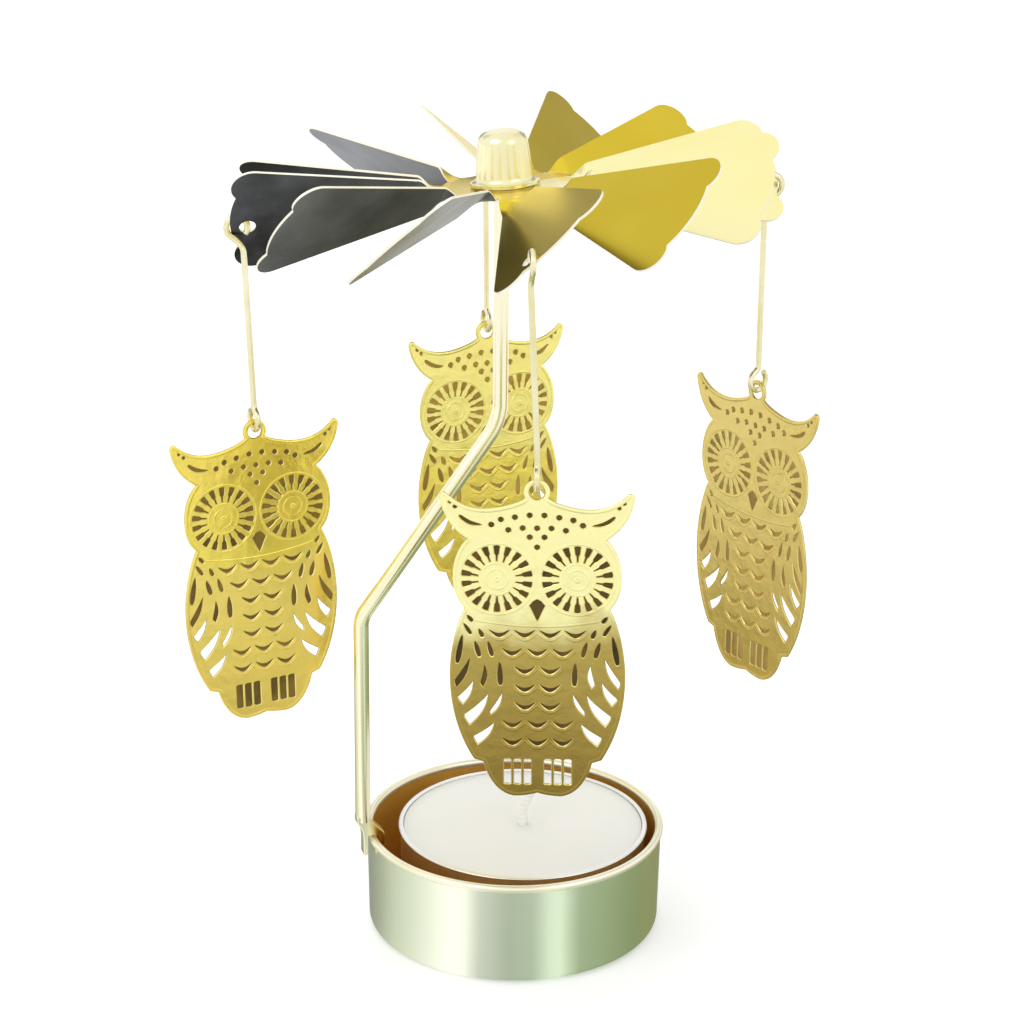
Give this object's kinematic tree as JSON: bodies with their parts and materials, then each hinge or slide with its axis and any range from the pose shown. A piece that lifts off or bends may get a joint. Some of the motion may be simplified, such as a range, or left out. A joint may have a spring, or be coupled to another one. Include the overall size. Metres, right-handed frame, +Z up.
{
  "type": "rotating candle holder",
  "caption": "Tealight cup with a clipped-on bent pole; a twisted-blade rotor balances on the pole's needle and carries pierced owl charms on wire hangers round the candle.",
  "frame": {"origin": "centre of the base cup's flat resting face", "axes": "+Z up along the cup's axis; the pole clips on the rim at -X and bends over to the spindle just short of the cup's axis"},
  "size_m": [0.0916, 0.0807, 0.1266],
  "materials": {
    "cup_metal": "satin, pale champagne plating",
    "pole_metal": "polished pale gold plating",
    "needle_steel": "ground point",
    "foil": "thin drawn foil",
    "wax": "paraffin wax, slightly translucent",
    "wick_cotton": "waxed braided cotton",
    "sustainer_steel": "tinned sheet",
    "rotor_sheet": "polished gold plating",
    "hub_metal": "polished gold plating",
    "bearing_metal": "turned, plain",
    "hanger_wire": "plated drawn wire",
    "charm_sheet": "etched and gold plated sheet"
  },
  "bodies": {
    "stand": {"base_cup": "cup_metal", "pole": "pole_metal", "pivot_needle": "needle_steel"},
    "candle": {"tealight_cup": "foil", "tealight_wax": "wax", "wick": "wick_cotton", "wick_sustainer": "sustainer_steel"},
    "rotor": {"rotor": "rotor_sheet", "hub_cap": "hub_metal", "bearing_plug": "bearing_metal"},
    "hanger_front": {"hanger_front": "hanger_wire"},
    "charm_front": {"owl_charm_front": "charm_sheet"},
    "hanger_right": {"hanger_right": "hanger_wire"},
    "charm_right": {"owl_charm_right": "charm_sheet"},
    "hanger_back": {"hanger_back": "hanger_wire"},
    "charm_back": {"owl_charm_back": "charm_sheet"},
    "hanger_left": {"hanger_left": "hanger_wire"},
    "charm_left": {"owl_charm_left": "charm_sheet"}
  },
  "joints": [
    {"name": "rotor_spin", "type": "hinge", "parent": "stand", "child": "rotor", "pos_m": [-0.00275, 0, 0.1233], "axis": [0, 0, 1], "continuous": true},
    {"name": "candle_lift", "type": "slide", "parent": "stand", "child": "candle", "axis": [0, 0, 1], "range_m": [0, 0.025]},
    {"name": "hanger_swing_front", "type": "hinge", "parent": "rotor", "child": "hanger_front", "pos_m": [-0.00886, -0.03738, 0.11588], "axis": [-0.9869, 0.1614, 0], "range_deg": [-1, 18]},
    {"name": "charm_turn_front", "type": "hinge", "parent": "hanger_front", "child": "charm_front", "pos_m": [-0.0076, -0.03708, 0.08368], "axis": [0, 0, 1], "range_deg": [-30, 30]},
    {"name": "hanger_swing_right", "type": "hinge", "parent": "rotor", "child": "hanger_right", "pos_m": [0.03463, -0.00681, 0.11641], "axis": [-0.1794, -0.9838, 0], "range_deg": [-1, 18]},
    {"name": "charm_turn_right", "type": "hinge", "parent": "hanger_right", "child": "charm_right", "pos_m": [0.03499, -0.00597, 0.08491], "axis": [0, 0, 1], "range_deg": [-30, 30]},
    {"name": "hanger_swing_back", "type": "hinge", "parent": "rotor", "child": "hanger_back", "pos_m": [0.00437, 0.03596, 0.11216], "axis": [0.981, -0.1942, 0], "range_deg": [-1, 18]},
    {"name": "charm_turn_back", "type": "hinge", "parent": "hanger_back", "child": "charm_back", "pos_m": [0.0048, 0.03659, 0.08396], "axis": [0, 0, 1], "range_deg": [-30, 30]},
    {"name": "hanger_swing_left", "type": "hinge", "parent": "rotor", "child": "hanger_left", "pos_m": [-0.03952, 0.00403, 0.11181], "axis": [0.1089, 0.994, 0], "range_deg": [-1, 18]},
    {"name": "charm_turn_left", "type": "hinge", "parent": "hanger_left", "child": "charm_left", "pos_m": [-0.03839, 0.00511, 0.08101], "axis": [0, 0, 1], "range_deg": [-30, 30]}
  ]
}
